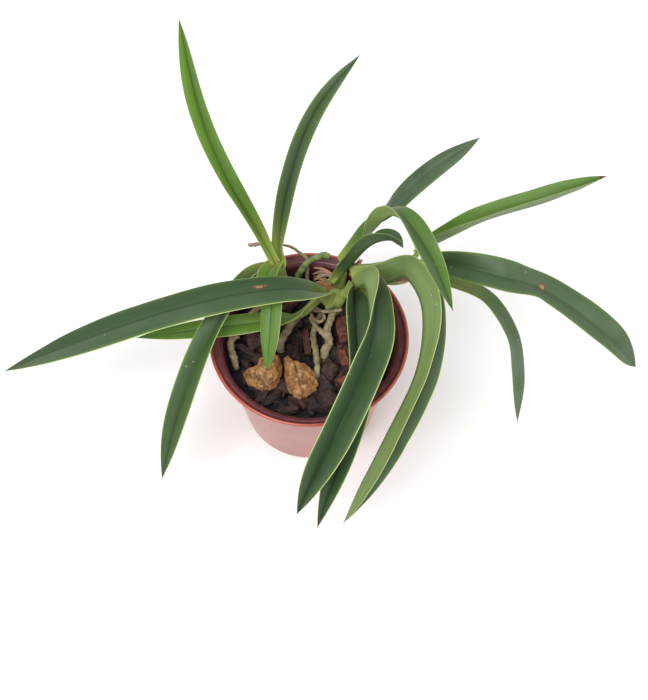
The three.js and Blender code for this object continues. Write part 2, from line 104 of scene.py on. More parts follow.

# Each leaf: midrib points [x, y, z, roll in degrees] in mm; width where it is broadest; fold of each half
# at the base and at the tip in degrees; shut and opened: shares of the length where the fold starts to open
# and is open; base width as a share of the broadest; blunt: how late the tip narrows; sheath: length of the
# clasping base. Looks, as pairs for the two halves: tone is how bright green they are, partly the leaf's age
# and partly painted light that makes a lit half brighter than a shaded one; the sheen pair is how much
# painted grey sheen, standing for reflected light, lies on them; pale: how clear the margin is; yellow:
# share of the length that yellows at the base; under: how pale the lower side is, below 1 painted shade that
# brings it towards the upper side's colour; tip: share of the length that has browned; scars: [across,
# along, half width, half length] in shares.
LEAVES = {
    "back_left": dict(
        shoot="left", width=7, fold=(60, 45), base=0.65, sheath=9, blunt=3,
        tone=(1, 0.85), painted_sheen=(0, 0.25), pale=0.3, yellow=0.3,
        path=[[-9.5, 21, 44.5, 25], [-13, 23.5, 52.5, 25], [-21, 27.5, 73, 10], [-27, 34.5, 94, 25],
              [-31, 43.5, 121.5, 30]],
    ),
    "back_upright": dict(
        shoot="left", width=7.5, fold=(60, 50), base=0.65, sheath=9,
        tone=(0.4, 0.35), painted_sheen=(0.85, 0.7), pale=0.2, yellow=0.3,
        path=[[-7.5, 21, 43, 5], [-7.5, 24, 50, 10], [-5, 30.5, 66, -15], [2, 38.5, 88, -25],
              [14.5, 52.5, 95, -5]],
    ),
    "left_drooping": dict(
        shoot="left", width=8, fold=(55, 35), base=0.55, sheath=8,
        tone=(0.25, 0.2), painted_sheen=(0.1, 0.2), pale=0.6, yellow=0.2, scars=[[-1, 0.955, 0.45, 0.02]],
        path=[[-9.5, 20, 41.5, -5], [-15.5, 15.5, 45, -10], [-21, 4.5, 48.5, -25], [-29, -6.5, 42.5, -5],
              [-36, -19.5, 31, 5], [-41.5, -31, 14, 0]],
    ),
    "left_short": dict(
        shoot="left", width=6, fold=(45, 5), base=0.8, sheath=6,
        tone=(0.8, 0.8), painted_sheen=(0.05, 0.05), pale=0.9, yellow=0.25,
        path=[[-9, 20, 43.5, 0], [-11.2, 13, 49, -5], [-10, 5, 50.5, -15], [-10.5, -3.5, 46, -20],
              [-11.5, -11, 39.5, -10]],
    ),
    "left_long": dict(
        shoot="middle", width=10.5, fold=(80, 5), shut=0.03, opened=0.16, base=0.75, sheath=4,
        tone=(0.15, 0.1), painted_sheen=(0.55, 0), pale=0.7, yellow=0.16, scars=[[0.3, 0.25, 0.11, 0.021]],
        path=[[5.5, 9, 39, -45], [1, 7, 49.5, -25], [-9, 6, 53, -10], [-29.5, 2.5, 52.5, -5],
              [-54.5, 1, 41, -5], [-85.5, -2.5, 25.5, -10]],
    ),
    "left_low": dict(
        shoot="middle", width=6, fold=(45, 15), base=0.7, sheath=5,
        tone=(0.85, 0.85), painted_sheen=(0, 0), pale=0.9, yellow=0.5,
        path=[[4, 13, 37.5, -45], [-1, 8, 37, -60], [-6.5, 4, 40.5, -25], [-19, 2, 41.5, 15],
              [-32.5, 1, 40, 0], [-47.5, 0.5, 38, -5]],
    ),
    "front_inner": dict(
        shoot="middle", width=9.5, fold=(80, 40), shut=0.05, opened=0.25, base=0.85, sheath=7.5,
        tone=(0.1, 0.05), painted_sheen=(0.1, 0.1), pale=0.8, yellow=0.12, tip=0.05,
        path=[[9.5, 13, 38.5, 52], [11.5, 7.5, 44.5, 40], [12.5, -2, 51, 18], [12.4, -20, 46, 25],
              [8.6, -34, 36, 10], [1.5, -49, 19.5, 0]],
    ),
    "front_broad": dict(
        shoot="middle", width=12.5, fold=(80, 45), shut=0.1, opened=0.32, base=0.6, sheath=9,
        tone=(0.12, 0.08), painted_sheen=(0.12, 0.05), pale=0.9, yellow=0.12,
        path=[[12, 12.5, 41, 50], [15.5, 7.5, 53.5, 68], [16.5, -3, 57, 50], [15.5, -15.5, 53, 20],
              [6.5, -34, 45.5, 20], [-4, -46.5, 23, 15]],
    ),
    "front_arching": dict(
        shoot="middle", width=11.8, fold=(80, 55), shut=0.25, opened=0.5, base=0.95, sheath=9, blunt=3,
        tone=(0.15, 0.1), painted_sheen=(0.4, 0), pale=0.8, yellow=0.1, under=0.8,
        path=[[13, 14.2, 40.5, 52], [22.5, 12.5, 46.5, 42], [26.5, 8, 56, 60], [30.5, -4, 58.5, 72],
              [28.5, -19, 52.5, 70], [20, -33, 40.5, 80], [8.5, -48.5, 21, 90]],
    ),
    "back_small": dict(
        shoot="back", width=6, fold=(45, 45), base=0.55, sheath=7, blunt=4,
        tone=(0.15, 0.15), painted_sheen=(0.3, 0.3), pale=0.2, yellow=0.25, under=0.05,
        path=[[7, 17, 39.2, 50], [12.6, 17.5, 50, 50], [17.5, 17.3, 58.9, 60], [22.6, 17.8, 59.6, 20],
              [26, 17.6, 55.2, 0]],
    ),
    "back_arching": dict(
        shoot="back", width=7.5, fold=(50, 35), base=0.6, sheath=9,
        tone=(0.6, 0.3), painted_sheen=(0, 0.2), pale=0.4, yellow=0.2,
        path=[[9.8, 22.4, 40, 15], [17.5, 23.6, 55, 5], [22, 20.2, 68, 35], [26.5, 14, 72.5, 20],
              [32.5, 4, 71, -15], [38, -5.5, 60.5, -15]],
    ),
    "back_right": dict(
        shoot="back", width=7, fold=(50, 5), base=0.5, sheath=10,
        tone=(0.1, 0.1), painted_sheen=(0.6, 0.6), pale=0.15, yellow=0.2,
        path=[[10.5, 22.6, 40.2, 15], [16.8, 27.8, 47.8, 20], [24, 28.8, 59.6, 15], [33, 33.5, 67.5, 5],
              [46.5, 39, 76, -15]],
    ),
    "right_upper": dict(
        shoot="right", width=8, fold=(60, 55), base=0.5, sheath=4, blunt=3,
        tone=(0.8, 0.5), painted_sheen=(0, 0.1), pale=0.25, yellow=0.12, under=0.35, tip=0.05,
        path=[[30.5, 20.5, 48.5, 15], [36, 20.7, 54, 25], [47.5, 21.2, 63.2, 10], [64.5, 23.3, 69.3, 15],
              [79.5, 26, 76, 0]],
    ),
    "right_broad": dict(
        shoot="right", width=10, fold=(55, 20), base=0.7, sheath=4, blunt=4,
        tone=(0.2, 0.2), painted_sheen=(0.5, 0.5), pale=0.15, yellow=0.1, scars=[[-0.15, 0.5, 0.2, 0.014]],
        path=[[32.5, 15.2, 48, -25], [37.5, 13.5, 54, -40], [52.5, 6, 58, -10], [64.5, 4.5, 52, 10],
              [80, -5.5, 47, 0], [89.5, -9.5, 35.5, -20]],
    ),
    "right_narrow": dict(
        shoot="right", width=5, fold=(50, 10), base=0.8, sheath=4,
        tone=(0.3, 0.3), painted_sheen=(0.9, 0.9), pale=0.1, yellow=0.4,
        path=[[32, 14.6, 44.4, 0], [39, 11.2, 47.5, -5], [49, 6.3, 46.4, 15], [55.5, -1, 39.5, 20],
              [58, -7, 27.5, 25], [58.5, -15.5, 15, 20]],
    ),
}

# Each root: how green it is, and its strands as points in mm with the half thickness at both ends
ROOTS = {
    "aerial": (0.1, [
        ([[-0.3, 19.8, 29], [-0.3, 21.4, 33.4], [-0.2, 23.4, 36], [0, 24.9, 38.3], [-2.6, 26.2, 40.4],
          [-5.5, 27, 42.3], [-11, 27.2, 43.4], [-13.8, 26.8, 43.8]], (0.6, 0.3)),
        ([[-13, 27, 43.7], [-14.6, 26.6, 43.9], [-16.8, 26.4, 44]], (0.5, 0.55)),
    ]),
    "arched": (0.9, [
        ([[-3.2, 20.3, 29], [-2.8, 22, 34.6], [0, 23.2, 39.4], [3.6, 23.8, 42], [6.4, 23.7, 42]],
         (0.9, 0.9)),
    ]),
    "front": (0.15, [
        ([[3.7, -2.6, 29], [4.4, -1.6, 32.6], [5.5, 0.6, 33.8], [5, 4.1, 34.4], [6.2, 7.7, 34.8],
          [7, 10.6, 35]], (1.2, 0.8)),
        ([[0.3, 9.3, 33.2], [1.8, 5.8, 34], [3.6, 3.6, 34.2], [5, 1.8, 34.2]], (0.5, 0.9)),
        ([[0.4, 11, 34.6], [2.1, 10.6, 35.4], [4, 9.4, 35.6], [5.6, 10.4, 35.4]], (0.5, 0.5)),
        ([[0.6, 9.9, 34.2], [1.6, 7.6, 34.6], [3.2, 6.6, 34.8], [4.3, 8, 35], [3.4, 9.8, 34.8]],
         (0.45, 0.4)),
    ]),
    "centre": (0.3, [
        ([[2.2, -8.6, 29], [2.1, -7.6, 32.4], [1.9, -3, 33.2], [1.2, 3, 33.4], [2.2, 7.4, 33.2],
          [3.6, 10.4, 33]], (0.8, 0.8)),
    ]),
    "left": (0.2, [
        ([[-8.2, 0.2, 29], [-7.7, 1.8, 32.4], [-6.4, 4.2, 33.4], [-4, 8, 33.4], [-1.5, 10.8, 33.2],
          [1.6, 12.6, 33.2]], (1.1, 0.9)),
    ]),
    "far_left": (0.1, [
        ([[-20.2, -5.2, 29], [-20.8, -3.6, 32.6], [-21.6, -1, 33.8], [-21.4, 1.8, 34.6],
          [-19, 6, 34.6], [-14, 12, 34.4], [-9.4, 17.4, 34.2]], (0.95, 0.8)),
        ([[-21.5, 0.6, 34.2], [-20.4, 1.9, 34.8], [-19.2, 2.2, 34.2]], (0.55, 0.35)),
    ]),
    "across": (0.1, [
        ([[-1.6, 10.6, 34.8], [2, 9.6, 35.8], [5.2, 9.1, 36.2], [9.4, 9.4, 36.6]], (0.35, 0.5)),
    ]),
}

# Each dry sheath remain: points [x, y, z, roll], width in mm and how orange it is
BRACTS = {
    "pale_long": ([[6.7, 21, 36.4, 0], [4.2, 22, 37, 0], [1.8, 22, 36.4, 0]], 2.2, 0.1),
    "pale_short": ([[6.4, 18.6, 35, 0], [4, 19.4, 35.2, 0], [1.8, 19.8, 34.4, 0]], 1.8, 0.2),
    "orange": ([[6.8, 16.4, 36, 0], [4.8, 16.8, 37.2, 0], [3.2, 17.6, 36.8, 0]], 2.2, 0.9),
    "spike": ([[11.8, 19.8, 38, 0], [13.3, 20.6, 39.6, 0], [14.8, 21.6, 41.6, 0]], 1.4, 0.3),
    "sleeve": ([[23, 13.6, 45.3, 150], [25.6, 13.7, 46, 150], [28.4, 14.2, 47.4, 150]], 3.6, 0.6),
}

# Corners in mm of the broken blocks that make up each pale corky lump
LUMPS = {
    "left": [
        [[-14.5, -3, 32.3], [-8.4, -2.1, 33], [-7.3, -5.1, 32], [-7.9, -10.8, 31], [-11, -13.7, 30.6],
         [-14.8, -12.8, 30.6], [-14, -6, 30.2], [-9, -4, 30.2], [-9, -11, 30.2], [-13, -12, 30.2],
         [-12.5, -6.2, 36], [-9.4, -5.6, 36.4], [-9.2, -10.2, 36.6], [-12.6, -11.6, 36.2]],
        [[-18.7, -7.7, 32.2], [-17.9, -11, 31], [-12.5, -13.6, 31], [-11, -4, 32.4], [-16.5, -8.5, 35.2],
         [-11.4, -6, 36.6], [-11.4, -11.2, 36.2], [-17, -9, 30.2], [-12, -11, 30.2]],
    ],
    "right": [
        [[-7.1, -2.5, 33], [-3.2, -5.2, 32.4], [-7, -11.7, 30.8], [-5.5, -15, 30.6], [-1.7, -16, 30.6],
         [-1.2, -11, 32], [-5, -5, 30.2], [-5, -13, 30.2], [-2, -13, 30.2], [-5.9, -4.8, 35.8],
         [-4.5, -7, 36.6], [-3.6, -11.7, 36.2], [-2.6, -14.6, 34.4]],
        [[-4.4, -4.8, 33.4], [1, -6.2, 31.6], [2.8, -12.8, 30.8], [-1.5, -15.8, 30.8], [-3.6, -7, 36],
         [0.6, -10.5, 34], [-2.8, -13, 34.8], [0, -8, 30.2], [1, -13, 30.2], [-4, -12, 30.2]],
    ],
}

# Each loose bark piece: middle [x, y] and full size in mm, turn about the vertical in degrees, redness
CHUNKS = [
    ([-0.6, 2], [2.6, 9, 3.4], 8, 0.45),
    ([5.6, -7], [4.6, 6, 3.4], -15, 0.1),
    ([9.2, 6], [3.8, 9.4, 4.4], 5, 0.9),
    ([9.4, -3.4], [3, 7, 3.6], 12, 1),
    ([9.6, -10.8], [3.4, 4.4, 3.4], 40, 0.8),
    ([5, -16], [7.4, 6, 3.6], 25, 0.1),
    ([-6.4, -19.2], [8, 3, 2.4], 8, 0.1),
    ([-15.4, 2.6], [4.6, 6.6, 4], 30, 0.2),
    ([-4.6, -1.4], [4, 6, 3.2], 0, 0),
    ([-5.6, 13.8], [5.4, 3, 3], 40, 0.5),
    ([16.6, 8.4], [5, 6.4, 4], -30, 0.7),
    ([16.2, -8], [6, 8, 4], 20, 0.3),
    ([-15.6, 10.6], [5, 4, 3], -20, 0.2),
]


def length_setting(name, description, default):
    return FloatProperty(name=name, description=description, default=default, min=0, unit="LENGTH")


def colour_setting(name, description, default):
    return FloatVectorProperty(
        name=name, description=description, default=default, min=0, max=1, size=3, subtype="COLOR"
    )


class PotSettings(bpy.types.PropertyGroup):
    rim_radius: length_setting("Rim radius", "Outer radius of the lip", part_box("pot")[1].x)
    height: length_setting("Height", "From the table to the top of the lip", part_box("pot")[1].z)
    lip_height: length_setting("Lip height", "Height of the stepped-out lip", 0.75 * MM)
    lip_ring: length_setting("Lip ring", "Width of the lip's flat top", 0.55 * MM)
    body_top_radius: length_setting("Body radius", "Outer radius just under the lip", 25 * MM)
    base_radius: length_setting("Base radius", "Outer radius at the table", 18.8 * MM)
    wall: length_setting("Wall", "Thickness of the plastic", 1 * MM)
    drain_radius: length_setting("Drain radius", "Radius of each drain hole", 2.4 * MM)
    drain_circle: length_setting("Drain circle", "Radius of the circle of drain holes", 11.5 * MM)
    drain_count: IntProperty(name="Drain count", description="Number of drain holes", default=4, min=0)
    outside: colour_setting("Outside", "Colour of the outer wall", (0.42, 0.145, 0.12))
    lip: colour_setting("Lip", "Colour of the lip", (0.46, 0.085, 0.048))
    # Painted shade: the inner wall's colour is the plastic's red darkened to stand for the shade inside the
    # pot
    inside: colour_setting("Inside", "Colour of the inner wall", (0.115, 0.018, 0.027))


class LeafSettings(bpy.types.PropertyGroup):
    thickness: length_setting("Thickness", "Thickness of a blade at its midrib", 0.75 * MM)
    steps: IntProperty(name="Steps", description="Rows of faces along a blade", default=150, min=8)
    deep: colour_setting("Deep green", "Upper side of an old leaf", (0.017, 0.043, 0.015))
    bright: colour_setting("Bright green", "Upper side of a young leaf", (0.105, 0.215, 0.018))
    underside: colour_setting("Underside", "Lower side of a leaf", (0.2, 0.29, 0.09))
    base: colour_setting("Base", "Yellowed base of a leaf", (0.34, 0.4, 0.09))
    margin: colour_setting("Margin", "Thin edge of a leaf", (0.5, 0.58, 0.22))
    # Painted sheen: a grey cast standing for reflected light on the upper side; faint veins take the same
    # grey
    painted_sheen: colour_setting("Bloom", "Waxy grey cast on the upper side", (0.082, 0.122, 0.066))


class BarkSettings(bpy.types.PropertyGroup):
    bits: IntProperty(name="Bits", description="Small pieces strewn on the filling", default=170, min=0)
    dark: colour_setting("Dark bark", "Damp bark", (0.026, 0.0155, 0.0165))
    red: colour_setting("Red bark", "Freshly broken bark", (0.19, 0.055, 0.03))
    cork: colour_setting("Cork", "Faces of the pale lumps", (0.54, 0.245, 0.085))
    cork_light: colour_setting("Light cork", "Worn corners of the pale lumps", (0.75, 0.48, 0.24))


class RootSettings(bpy.types.PropertyGroup):
    grey: colour_setting("Dry skin", "Dry corky skin of a root", (0.32, 0.235, 0.15))
    green: colour_setting("Living root", "Green of a living root", (0.16, 0.24, 0.07))
    paper: colour_setting("Paper", "Dry papery sheath", (0.75, 0.5, 0.38))
    rust: colour_setting("Rust", "Orange-brown dry sheath", (0.72, 0.32, 0.12))


class StageSettings(bpy.types.PropertyGroup):
    floor: colour_setting("Floor", "Colour of the floor", (0.93, 0.93, 0.93))
    sky: FloatProperty(name="Sky", description="Strength of the even light", default=0.85, min=0)
    key: FloatProperty(name="Key", description="Power of the large lamp", default=7, min=0, unit="POWER")
    lens: FloatProperty(name="Lens", description="Focal length", default=93.37, min=1, unit="CAMERA")


class Finish:
    """One node material: a Principled surface and short calls for the nodes that shape it."""

    def __init__(self, name, constants):
        self.material = bpy.data.materials.new(name)
        self.material.use_nodes = True
        self.tree = self.material.node_tree
        self.surface = self.tree.nodes["Principled BSDF"]
        for socket, value in constants.items():
            self.put(self.surface.inputs[socket], value)

    def put(self, socket, value):
        if isinstance(value, bpy.types.NodeSocket):
            self.tree.links.new(value, socket)
        elif socket.type == "RGBA":
            socket.default_value = (*value[:3], 1)
        else:
            socket.default_value = value

    def node(self, kind, inputs, **settings):
        node = self.tree.nodes.new("ShaderNode" + kind)
        for key, value in settings.items():
            setattr(node, key, value)
        for socket, value in inputs.items():
            self.put(node.inputs[socket], value)
        return node

    def math(self, operation, *values):
        return self.node("Math", dict(enumerate(values)), operation=operation).outputs[0]

    def mix(self, share, first, second):
        return self.node("Mix", {0: share, 6: first, 7: second}, data_type="RGBA").outputs[2]

    def shades(self, share, colour, dark, light):
        """The colour from a darker to a lighter shade of itself."""
        return self.mix(share, darker(colour, dark), darker(colour, light))

    def step(self, value, low, high, top=1):
        """Smooth rise from 0 to top."""
        inputs = {"Value": value, "From Min": low, "From Max": high, "To Max": top}
        return self.node("MapRange", inputs, interpolation_type="SMOOTHSTEP").outputs[0]

    def attribute(self, name):
        return self.node("Attribute", {}, attribute_name=name).outputs["Fac"]

    def vector(self, x, y, z):
        return self.node("CombineXYZ", {0: x, 1: y, 2: z}).outputs[0]

    def place(self):
        return self.node("TexCoord", {}).outputs["Object"]

    def height(self):
        return self.node("SeparateXYZ", {0: self.place()}).outputs["Z"]

    def stretched(self, scale):
        return self.node("Mapping", {"Vector": self.place(), "Scale": scale}).outputs[0]

    def noise(self, vector, scale, detail=3, roughness=0.55):
        inputs = {"Vector": vector, "Scale": scale, "Detail": detail, "Roughness": roughness}
        return self.node("TexNoise", inputs).outputs["Fac"]

    def drawn_out(self, wide, long, scale, detail):
        """Noise drawn out along a blade."""
        across = self.math("MULTIPLY", self.attribute("across"), wide)
        along = self.math("MULTIPLY", self.attribute("along"), long)
        return self.noise(self.vector(across, along, 0), scale, detail)

    def cells(self, vector, scale):
        return self.node("TexVoronoi", {"Vector": vector, "Scale": scale})

    def bump(self, height, distance, strength=1):
        inputs = {"Height": height, "Distance": distance, "Strength": strength}
        if self.surface.inputs["Normal"].links:
            inputs["Normal"] = self.surface.inputs["Normal"].links[0].from_socket
        self.put(self.surface.inputs["Normal"], self.node("Bump", inputs).outputs[0])

    def colour(self, colour):
        self.put(self.surface.inputs["Base Color"], colour)

    def roughness(self, share, low, high):
        inputs = {"Value": share, "To Min": low, "To Max": high}
        self.put(self.surface.inputs["Roughness"], self.node("MapRange", inputs).outputs[0])


def darker(colour, share):
    return [channel * share for channel in colour]


class Path:
    """Smooth path through points, read by its share of the length. Extra columns, such as roll, follow."""

    SAMPLES = 400

    def __init__(self, points):
        points = np.array(points, float)
        ends = np.vstack([2 * points[0] - points[1], points, 2 * points[-1] - points[-2]])
        u = np.linspace(0, len(points) - 1, self.SAMPLES)
        first = np.minimum(u.astype(int), len(points) - 2)
        f = (u - first)[:, None]
        a, b, c, d = (ends[first + i] for i in range(4))
        curve = 2 * b + (c - a) * f + (2 * a - 5 * b + 4 * c - d) * f**2 + (3 * b - a - 3 * c + d) * f**3
        self.values = curve / 2
        strides = np.linalg.norm(np.diff(self.values[:, :3], axis=0), axis=1)
        self.reach = np.concatenate([[0], np.cumsum(strides)])
        self.length = self.reach[-1]

    def at(self, shares):
        wanted = np.asarray(shares) * self.length
        return np.stack([np.interp(wanted, self.reach, column) for column in self.values.T], axis=-1)

    def frames(self, shares, across=(0, 0, 1)):
        """Place on the path at each share, its side square to the given direction, and its face."""
        place = self.at(shares)
        nudge = 1e-3
        ahead = self.at(np.minimum(np.asarray(shares) + nudge, 1))[:, :3]
        behind = self.at(np.maximum(np.asarray(shares) - nudge, 0))[:, :3]
        along = unit(ahead - behind)
        side = unit(np.cross(along, across))
        return place, side, np.cross(side, along)


def unit(vectors):
    return vectors / np.linalg.norm(vectors, axis=1)[:, None]


def float_layers(bm, names):
    """Named values on the vertices, ready before the vertices that use them."""
    for name in names:
        if name not in bm.verts.layers.float:
            bm.verts.layers.float.new(name)
    return {name: bm.verts.layers.float[name] for name in names}


def wrapped(bm, rounds, steps, shape):
    """Closes a grid into a skin: across it runs once round a section, and up it runs along the piece.
    shape(turn, row) gives a vertex's place in mm and its attributes, for a turn of 0 to 1."""
    layers = float_layers(bm, shape(0, 0)[1])
    grid = bmesh.ops.create_grid(bm, x_segments=rounds, y_segments=steps, size=1)
    for vert in grid["verts"]:
        turn = (vert.co.x + 1) / 2
        row = round((vert.co.y + 1) / 2 * steps)
        place, attributes = shape(turn, row)
        vert.co = Vector(place) * MM
        for name, value in attributes.items():
            vert[layers[name]] = value
    bmesh.ops.remove_doubles(bm, verts=grid["verts"], dist=1e-7)
    rims = [edge for edge in bm.edges if edge.is_boundary]
    bmesh.ops.holes_fill(bm, edges=rims, sides=0)


def finished(name, bm, material, nodes, steep=None):
    """Turns a bmesh into a smooth piece that stands for CAD nodes."""
    bmesh.ops.recalc_face_normals(bm, faces=bm.faces)
    if bm.calc_volume(signed=True) < 0:
        bmesh.ops.reverse_faces(bm, faces=bm.faces)
    mesh = bpy.data.meshes.new(name)
    bm.to_mesh(mesh)
    bm.free()
    mesh.shade_smooth()
    if steep:
        mesh.set_sharp_from_angle(angle=math.radians(steep))
    mesh.materials.append(material)
    piece = bpy.data.objects.new(name, mesh)
    bpy.context.scene.collection.objects.link(piece)
    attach(piece, "root")
    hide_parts(*nodes)
    return piece


def blade(bm, leaf, start, end, steps, thickness, seed, spread=(1, 1), attributes=None):
    """Folded blade with a sharp groove, a keel below it and thin margins. Its thickness, and its spread, a
    share of the width, are given at the start and at the end."""
    midrib = Path(leaf["path"])
    shares = np.linspace(start, end, steps + 1)
    place, side, face = midrib.frames(shares)
    roll = np.radians(place[:, 3])[:, None]
    sideways = side * np.cos(roll) + face * np.sin(roll)
    outward = face * np.cos(roll) - side * np.sin(roll)
    at_base, at_tip = np.radians(leaf["fold"])
    shut, opened = leaf.get("shut", 0), leaf.get("opened", FOLD_END)
    closing = 1 - np.clip((shares - shut) / (opened - shut), 0, 1)
    fold = at_tip + (at_base - at_tip) * closing**1.5
    widening = np.sin(np.minimum(shares / WIDEN_END, 1) * math.pi / 2)
    taper = np.maximum(shares - TAPER_START, 0) / (1 - TAPER_START)
    narrowing = 1 - taper ** leaf.get("blunt", TAPER_POWER)
    width = leaf["width"] * (leaf["base"] + (1 - leaf["base"]) * widening) * narrowing
    width *= np.linspace(*spread, steps + 1)
    half = np.maximum(width, TIP_WIDTH) / 2
    slim = np.minimum(half / (0.35 * leaf["width"]), 1)
    body = np.linspace(*thickness, steps + 1) * slim / 2
    parting = np.minimum(body * np.tan(fold) / half, 0.9)
    sway = [SWAY * noise.noise((share * 5, seed, 0)) for share in shares]
    reaches = shares * midrib.length / 9
    ripple = [[RIPPLE * noise.noise((reach, seed, hand)) for reach in reaches] for hand in (1, 2)]

    def shape(turn, row):
        angle = ROUND * (turn - 0.25)
        across = math.cos(angle)
        upper = math.sin(angle) > 1e-6
        out = abs(across)
        sine, cosine = math.sin(fold[row]), math.cos(fold[row])
        skin = body[row] * (0.4 + 0.6 * (1 - out * out)) * min(abs(math.sin(angle)) * 2.5, 1)
        if upper:
            reach = max(half[row] * cosine * out - skin * sine, 0.02 * out)
            lift = half[row] * sine * max(out, parting[row]) + skin * cosine
        else:
            lean = min(out / 0.15, 1)
            reach = half[row] * cosine * out + skin * sine * lean
            lift = half[row] * sine * (math.sqrt(out * out + 0.003) - 0.0015)
            lift -= KEEL * slim[row] * math.exp(-((out / 0.1) ** 2))
            lift -= skin * ((1 - lean) * min(1 / cosine, 1.6) + lean * cosine)
        lift += 0.05 * half[row] * math.sin(math.pi * out)
        lift += sway[row] + ripple[across > 0][row] * out * out * slim[row]
        values = dict(attributes(across, shares[row]) if attributes else {})
        # On the lower side, an under value below 1 is painted shade that brings it towards the upper side's
        # colour
        values.update(across=across, along=shares[row], under=0 if upper else leaf.get("under", 1))
        return place[row, :3] + sideways[row] * math.copysign(reach, across) + outward[row] * lift, values

    wrapped(bm, BLADE_ROUNDS, steps, shape)


def sheath_share(leaf):
    return leaf["sheath"] / Path(leaf["path"]).length


def tube(bm, points, radii, rounds, stride, seed, rough=0.08, upright=False, attributes=None):
    """Uneven round rod with rounded ends."""
    path = Path(points)
    steps = max(6, round(path.length / stride))
    shares = np.linspace(0, 1, steps + 1)
    place, side, face = path.frames(shares, (0, 1, 0) if upright else (0, 0, 1))

    def shape(turn, row):
        share = shares[row]
        angle = ROUND * turn
        radius = radii[0] + (radii[1] - radii[0]) * share
        to_end = min(share, 1 - share) * path.length
        dome = math.sqrt(max(1 - (1 - min(to_end / radius, 1)) ** 2, 0.004))
        direction = side[row] * math.cos(angle) + face[row] * math.sin(angle)
        spot = Vector(place[row, :3] + direction * radius)
        uneven = rough * (noise.noise(spot * 0.9 + Vector((seed, 0, 0))) + 0.5 * noise.noise(spot * 2.3))
        values = dict(attributes or {})
        values["along"] = share
        return place[row, :3] + direction * radius * dome * (1 + uneven), values

    wrapped(bm, rounds, steps, shape)


def leaf_finish(name, settings):
    """Leathery leaf: streaks, painted shade in the groove, painted grey sheen, veins, pale margin, yellow
    base, flecks and scars.
    """
    finish = Finish(name, {"Specular IOR Level": 0.4, "Sheen Weight": 0.03, "Sheen Roughness": 0.4})
    place = finish.place()
    out = finish.math("ABSOLUTE", finish.attribute("across"))
    pale = finish.attribute("pale")
    streak = finish.step(finish.drawn_out(9, 2, 1.4, 5), 0.3, 0.7)
    veins = finish.drawn_out(40, 5, 1, 2)
    patch = finish.noise(place, 110, detail=4)

    old = finish.shades(streak, settings.deep, 0.86, 1.16)
    young = finish.shades(streak, settings.bright, 0.88, 1.12)
    upper = finish.mix(finish.attribute("tone"), old, young)
    # Painted sheen: a grey cast in patches, standing for reflected light; the veins get a faint touch of the
    # same grey
    sheen_share = finish.math("MULTIPLY", finish.attribute("painted_sheen"), finish.step(patch, 0.15, 0.7))
    upper = finish.mix(sheen_share, upper, settings.painted_sheen)
    upper = finish.mix(finish.step(veins, 0.5, 0.8, 0.16), upper, settings.painted_sheen)
    # Painted shade: a dark line along the midrib, where the crease of the fold lies in shade
    groove = finish.math("MULTIPLY", finish.step(out, 0.11, 0, 0.8), pale)
    upper = finish.mix(groove, upper, darker(settings.deep, 0.45))
    upper = finish.mix(finish.step(out, 0.78, 0.98, 0.35), upper, settings.bright)
    lower = finish.shades(streak, settings.underside, 0.82, 1.12)
    lower = finish.mix(finish.step(veins, 0.55, 0.8, 0.25), lower, settings.bright)
    colour = finish.mix(finish.attribute("under"), upper, lower)
    colour = finish.mix(finish.attribute("yellow"), colour, settings.base)

    fleck = finish.cells(place, 330)
    near = finish.math("LESS_THAN", fleck.outputs["Distance"], 0.06)
    kept = finish.math("GREATER_THAN", fleck.outputs["Color"], 0.5)
    share = finish.math("MULTIPLY", finish.math("MULTIPLY", near, kept), 0.5)
    colour = finish.mix(share, colour, (0.6, 0.66, 0.58))
    edge = finish.math("MULTIPLY", finish.step(out, 0.958, 0.98), pale)
    colour = finish.mix(edge, colour, settings.margin)

    crumbs = finish.math("MULTIPLY", finish.noise(place, 1100, detail=3), 0.8)
    worn = finish.math("MULTIPLY", finish.attribute("brown"), finish.math("ADD", 0.6, crumbs))
    colour = finish.mix(finish.step(worn, 0.3, 0.36), colour, (0.11, 0.05, 0.02))
    colour = finish.mix(finish.step(worn, 0.62, 0.7), colour, (0.27, 0.19, 0.09))
    finish.colour(colour)
    finish.roughness(patch, 0.42, 0.55)
    finish.bump(veins, 0.00008, 0.5)
    finish.bump(finish.noise(place, 2600, detail=2), 0.00003, 0.4)
    return finish.material


def bark_finish(settings):
    """Damp conifer bark: layered purple-brown fibres, redder where freshly broken, and near-black painted
    shade in the gaps.
    """
    finish = Finish("bark_dark", {"Roughness": 0.7, "Specular IOR Level": 0.4})
    place = finish.place()
    fibres = finish.noise(finish.stretched((700, 220, 900)), 1, detail=6, roughness=0.65)
    crumbs = finish.noise(place, 600, detail=4)
    blotch = finish.noise(place, 170, detail=3)
    dark = finish.shades(finish.step(fibres, 0.3, 0.7), settings.dark, 0.55, 1.5)
    dark = finish.mix(finish.step(blotch, 0.52, 0.7), dark, finish.mix(0.4, dark, (0.14, 0.085, 0.055)))
    rust = finish.shades(finish.step(fibres, 0.35, 0.7), settings.red, 0.5, 1.5)
    fresh = finish.math("MULTIPLY", finish.attribute("red"), finish.step(crumbs, 0.2, 0.55))
    colour = finish.mix(fresh, dark, rust)
    # Painted shade: near black where the filling's top lies between the bits
    colour = finish.mix(finish.step(finish.attribute("hollow_shade"), 0.2, 0.7), colour, (0.009, 0.008, 0.013))
    finish.colour(colour)
    finish.bump(fibres, 0.0005)
    finish.bump(crumbs, 0.00025)
    return finish.material


